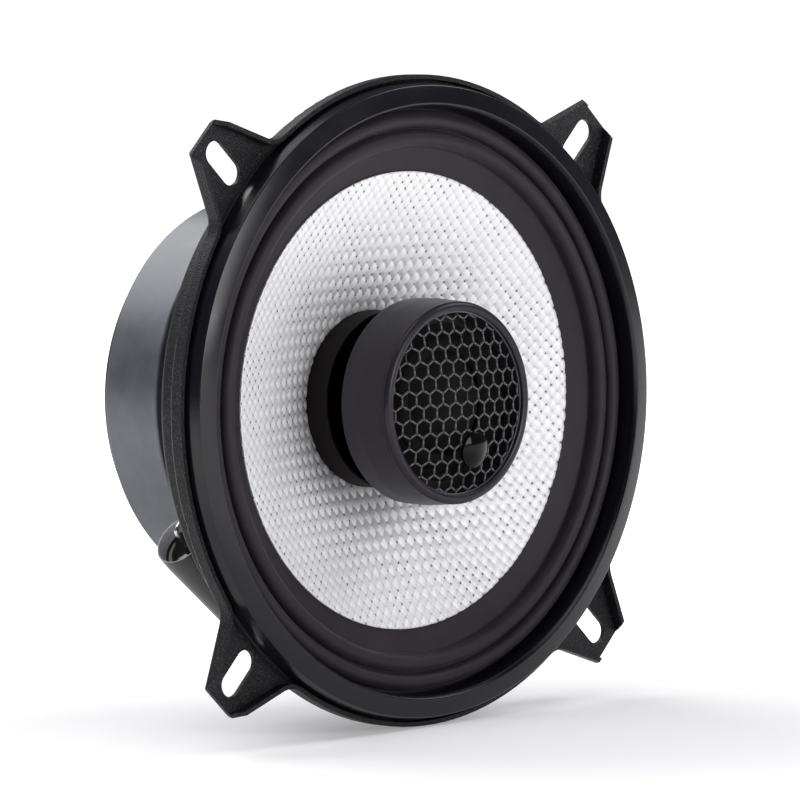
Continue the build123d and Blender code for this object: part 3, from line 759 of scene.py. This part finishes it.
# ---------------------------------------------------------------- surround, spider and trim ring
def make_surround():
    """The double-roll rubber surround between the basket and the cone."""
    seat = reach("surround")
    crest = front_of("surround")
    seat_front = SEAT_FRONT
    valley = 2.0 * MM
    outer_roll = (57.3 * MM, 54.2 * MM)
    inner_roll = (53.6 * MM, 50.4 * MM)
    tuck = 1.5 * MM
    land = [
        (radius, cone_forward(radius) - CLOTH_THICKNESS / 2)
        for radius in (inner_roll[1], CLOTH_EDGE, CLOTH_EDGE - tuck)
    ]
    line = [(seat, seat_front), (outer_roll[0], seat_front)]
    for outside, inside in (outer_roll, inner_roll):
        half = (outside - inside) / 2
        shoulder = crest - half
        line.append((outside, shoulder))
        line += arc((outside, shoulder), (outside - half, crest), (inside, shoulder), 16)
        if inside == outer_roll[1]:
            line += [(outer_roll[1], valley), (inner_roll[0], valley)]
    line += land
    piece = lathe("surround_rubber", sheet_outline(eased(line, 0.35 * MM), RUBBER), "rubber")
    blend_by_radius(piece)
    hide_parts("surround")


def make_tweeter_surround():
    """The half-roll of cloth between the faceplate and the tweeter's dome."""
    cloth = 0.3 * MM
    seat = rear_of("tweeter_surround") + cloth
    crest = front_of("tweeter_surround")
    outside, inside = 13.3 * MM, reach("tweeter_coil")
    line = [(reach("tweeter_surround"), seat), (outside, seat)]
    line += arc((outside, seat), ((outside + inside) / 2, crest), (inside, seat), 20)
    piece = lathe("tweeter_surround_roll", sheet_outline(line, cloth), "silk", around=160)
    blend_by_radius(piece)
    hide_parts("tweeter_surround")


def make_spider():
    """The corrugated cloth spider behind the cone."""
    outer = reach("spider")
    cloth = 0.4 * MM
    middle = (front_of("spider") + rear_of("spider") + cloth) / 2
    crest = 0.9 * MM
    flange, hub = 33.4 * MM, 19.4 * MM
    waves = 7
    wave = (flange - hub) / waves
    line = [(outer, middle), (flange, middle)]
    for turn in range(waves):
        start = flange - turn * wave
        height = crest if turn % 2 == 0 else -crest
        line += arc((start, middle), (start - wave / 2, middle + height), (start - wave, middle), 8)
    line.append((reach("coil_former"), middle))
    piece = lathe("spider_cloth_ring", sheet_outline(line, cloth), "spider_cloth")
    blend_by_radius(piece)
    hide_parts("spider")


def make_trim_ring():
    """The plastic ring inside the basket's lip, with crisp moulded edges."""
    outer = reach("trim_ring")
    crest = front_of("trim_ring")
    outline = [
        (57.9 * MM, SEAT_FRONT),
        (outer, SEAT_FRONT),
        (outer, 4.3 * MM),
        (62.55 * MM, 6.4 * MM),
        (58.8 * MM, crest),
        (58.3 * MM, crest - 0.9 * MM),
    ]
    piece = lathe("trim_moulding", eased(outline, 0.32 * MM, closed=True), "trim_plastic", around=240)
    stand_for(piece, CHASSIS, "trim_ring")


# ---------------------------------------------------------------- the tweeter's front
HEX_PITCH = 3.25 * MM
HEX_REACH = 8                            # rows and columns of cells to each side, before the cut
STRAND = 0.5 * MM
STRAND_SIDES = 10
KNOT_WIDTH = 1.14 * STRAND
GRILLE_OPEN = 17.8 * MM
GRILLE_SHEET = 0.5 * MM
GRILLE_TOP = front_of("tweeter_grille")
GRILLE_BASE = rear_of("tweeter_grille") + GRILLE_SHEET
GRILLE_RISE = GRILLE_TOP - GRILLE_BASE
GRILLE_SPHERE = (GRILLE_OPEN**2 + GRILLE_RISE**2) / (2 * GRILLE_RISE)


def dome_front(x, z):
    """How far forward the grille's dome stands here."""
    radius = min(math.hypot(x, z), GRILLE_OPEN)
    return GRILLE_TOP - GRILLE_SPHERE + math.sqrt(GRILLE_SPHERE**2 - radius**2)


def honeycomb_sides(limit):
    """The sides of the honeycomb's cells as pairs of (x, z) points, cut off at a radius."""
    row_step = HEX_PITCH * math.sqrt(3) / 2
    corner = HEX_PITCH / math.sqrt(3)
    sides = {}
    for row in range(-HEX_REACH, HEX_REACH):
        for column in range(-HEX_REACH, HEX_REACH + 1):
            shift = 0.25 if row % 2 else -0.25
            x = (column + shift) * HEX_PITCH
            z = (row + 0.5) * row_step
            ring = [
                (x + corner * math.cos(math.radians(90 + 60 * k)),
                 z + corner * math.sin(math.radians(90 + 60 * k)))
                for k in range(6)
            ]
            for a, b in zip(ring, ring[1:] + ring[:1]):
                key = (round((a[0] + b[0]) / MM, 2), round((a[1] + b[1]) / MM, 2))
                sides[key] = (a, b)
    kept = []
    for a, b in sides.values():
        inner, outer = sorted((a, b), key=lambda point: math.hypot(*point))
        if math.hypot(*inner) > limit:
            continue
        low, high = 0.0, 1.0
        if math.hypot(*outer) > limit:
            for _ in range(20):
                share = (low + high) / 2
                x = inner[0] + share * (outer[0] - inner[0])
                z = inner[1] + share * (outer[1] - inner[1])
                low, high = (share, high) if math.hypot(x, z) < limit else (low, share)
        outer = (inner[0] + high * (outer[0] - inner[0]), inner[1] + high * (outer[1] - inner[1]))
        kept.append((inner, outer))
    return kept


def make_grille():
    """The domed honeycomb: rounded strands on a dome, let into a flat rim."""
    verts, faces = [], []
    ring = STRAND_SIDES
    knots = set()
    for a, b in honeycomb_sides(GRILLE_OPEN + 0.2 * MM):
        start = len(verts)
        along = Vector((b[0] - a[0], 0, b[1] - a[1])).normalized()
        for share in (0, 0.5, 1):
            x, z = a[0] + share * (b[0] - a[0]), a[1] + share * (b[1] - a[1])
            side = along.cross(Vector((0, -1, 0)))
            middle = Vector((x, -(dome_front(x, z) - GRILLE_SHEET / 2), z))
            for k in range(ring):
                turn = 2 * math.pi * k / ring
                verts.append(middle + side * STRAND / 2 * math.cos(turn)
                             - Vector((0, GRILLE_SHEET / 2 * math.sin(turn), 0)))
        for step in range(2):
            here = start + step * ring
            for k in range(ring):
                m = (k + 1) % ring
                faces.append((here + k, here + m, here + ring + m, here + ring + k))
        faces.append(tuple(range(start, start + ring)))
        faces.append(tuple(range(start + 2 * ring, start + 3 * ring)))
        for x, z in (a, b):
            if math.hypot(x, z) < GRILLE_OPEN:
                knots.add((round(x, 6), round(z, 6)))
    for x, z in sorted(knots):
        knot = bmesh.new()
        bmesh.ops.create_icosphere(knot, subdivisions=2, radius=0.5)
        start = len(verts)
        middle = Vector((x, -(dome_front(x, z) - GRILLE_SHEET / 2), z))
        for vert in knot.verts:
            verts.append(middle + Vector((vert.co.x * KNOT_WIDTH, vert.co.y * GRILLE_SHEET,
                                          vert.co.z * KNOT_WIDTH)))
        faces += [[start + vert.index for vert in face.verts] for face in knot.faces]
        knot.free()
    lattice = link_mesh("grille_lattice", verts, faces, "grille")
    shape = bmesh.new()
    shape.from_mesh(lattice.data)
    bmesh.ops.recalc_face_normals(shape, faces=shape.faces)
    shape.to_mesh(lattice.data)
    shape.free()
    stand_for(lattice, CHASSIS, "tweeter_grille")
    rear = rear_of("tweeter_grille")
    rim = [
        (GRILLE_OPEN, rear),
        (reach("tweeter_grille"), rear),
        (reach("tweeter_grille"), GRILLE_BASE),
        (GRILLE_OPEN, GRILLE_BASE),
    ]
    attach(lathe("grille_rim", eased(rim, 0.12 * MM, closed=True), "grille"), CHASSIS)


def make_bezel():
    """The ring round the grille, with fine rounded edges that catch the light."""
    inner = 18.1 * MM
    outer = reach("tweeter_bezel")
    front = front_of("tweeter_bezel")
    seat = rear_of("tweeter_bezel")
    lip = reach("tweeter_grille") + 0.1 * MM
    foot = GRILLE_BASE
    brow = 19.1 * MM
    side = 12.9 * MM
    bulge = (brow + 0.7 * (outer - brow), side + 0.7 * (front - side))
    outline = [(inner, foot), (inner, front - 0.2 * MM), (inner + 0.5 * MM, front), (brow, front)]
    outline += arc((brow, front), bulge, (outer, side), 10)
    outline += [(outer, 12.6 * MM), (lip, 12.6 * MM), (lip, max(seat, foot))]
    piece = lathe("bezel_ring", eased(outline, 0.13 * MM, closed=True), "bezel_plastic")
    stand_for(piece, CHASSIS, "tweeter_bezel")


def make_badge():
    """The round badge on the grille, domed, polished and left blank."""
    low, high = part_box("grille_badge")
    middle = (Vector(low) + Vector(high)) / 2
    centre_forward = GRILLE_TOP - GRILLE_SPHERE
    normal = (middle - Vector((0, -centre_forward, 0))).normalized()
    radius = 3.6 * MM
    half = 0.45 * MM
    rim = [(radius, -half), (radius, half * 0.3), (radius * 0.95, half * 0.55)]
    dome = arc(rim[-1], (radius * 0.5, half * 1.95), (0, half * 2.4), 14)
    outline = [(0, -half)] + eased(rim + dome[:1], 0.18 * MM)[:-1] + dome
    piece = lathe("badge_dome", outline, "badge", middle, normal, 96)
    stand_for(piece, CHASSIS, "grille_badge")


# ---------------------------------------------------------------- capacitor and leads
def make_capacitor():
    """The tape sleeve, a little pinched at its ends, with black epoxy sunk in each end."""
    middle = capacitor_middle()
    wall = 0.45 * MM
    bore = CAPACITOR_RADIUS - wall
    end = CAPACITOR_HALF
    half = [
        (bore, 0), (bore, end - 3.4 * MM), (bore - 0.08 * MM, end - 0.6 * MM), (bore - 0.03 * MM, end),
        (CAPACITOR_RADIUS - 0.2 * MM, end), (CAPACITOR_RADIUS - 0.12 * MM, end - 1.2 * MM),
        (CAPACITOR_RADIUS, end - 3.0 * MM), (CAPACITOR_RADIUS, 0),
    ]
    mirrored = [(radius, -along) for radius, along in half[::-1]]
    outline = eased(half[:-1] + mirrored[:-1], 0.16 * MM, closed=True)
    sleeve = lathe("capacitor_sleeve", outline, "capacitor_film", middle, CAPACITOR_AXIS, 120)
    stand_for(sleeve, CHASSIS, "capacitor_wrap")
    floor = end - SEAL_INSET - 2.0 * MM
    top = end - SEAL_INSET
    poured = [
        (0, floor), (bore, floor), (bore - 0.02 * MM, top + 0.5 * MM), (bore - 0.5 * MM, top + 0.1 * MM),
        (bore - 1.4 * MM, top - 0.12 * MM), (1.6 * MM, top - 0.16 * MM), (0.9 * MM, top),
        (0.55 * MM, top + 0.35 * MM), (0, top + 0.35 * MM),
    ]
    for label, way in (("upper", -1), ("lower", 1)):
        seal = lathe(f"epoxy_{label}", poured, "epoxy", middle,
                     [way * part for part in CAPACITOR_AXIS], 72)
        stand_for(seal, CHASSIS, "capacitor_seals")


# a lead's route in millimetres, at the speaker's right; the other one mirrors it
TINSEL_ROUTE = (
    (11.2, 17.25, -40.6), (14.6, 17.2, -40.2), (16.4, 16.0, -39.6),
    (17.0, 12.0, -38.4), (15.6, 10.0, -32.0), (12.4, 9.0, -24.0),
)
TINSEL_RADIUS = 0.6 * MM


def make_tinsel():
    """Two braided leads that run from the terminals to the cone's neck."""
    for label, side in (("left", -1), ("right", 1)):
        line = bpy.data.curves.new(f"tinsel_{label}_line", "CURVE")
        line.dimensions = "3D"
        line.bevel_depth = TINSEL_RADIUS
        line.bevel_resolution = 4
        line.resolution_u = 24
        line.use_fill_caps = True
        spline = line.splines.new("NURBS")
        route = [(side * x, y, z) for x, y, z in TINSEL_ROUTE]
        spline.points.add(len(route) - 1)
        for point, place in zip(spline.points, route):
            point.co = (*(v * MM for v in place), 1)
        spline.order_u = 3
        spline.use_endpoint_u = True
        curve = bpy.data.objects.new(f"tinsel_{label}_line", line)
        bpy.context.scene.collection.objects.link(curve)
        bpy.context.view_layer.update()
        mesh = bpy.data.meshes.new_from_object(curve.evaluated_get(bpy.context.evaluated_depsgraph_get()))
        bpy.data.objects.remove(curve)
        mesh.materials.clear()
        mesh.materials.append(paints["tinsel"])
        piece = bpy.data.objects.new(f"tinsel_{label}", mesh)
        bpy.context.scene.collection.objects.link(piece)
        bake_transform(piece)
        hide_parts("tinsel_leads")


# ---------------------------------------------------------------- putting it together
paints = make_paints()


def paint_the_frame():
    """Gives every CAD node its slot's material."""
    for part in frame["record"]["subparts"]:
        node = frame["nodes"][part["node"]]
        node.data.materials.clear()
        node.data.materials.append(paints[part["material_slot"]])


paint_the_frame()
make_cone()
make_surround()
make_tweeter_surround()
make_spider()
make_trim_ring()
make_grille()
make_bezel()
make_badge()
make_capacitor()
make_tinsel()
place_camera()
make_floor()
light_the_room()
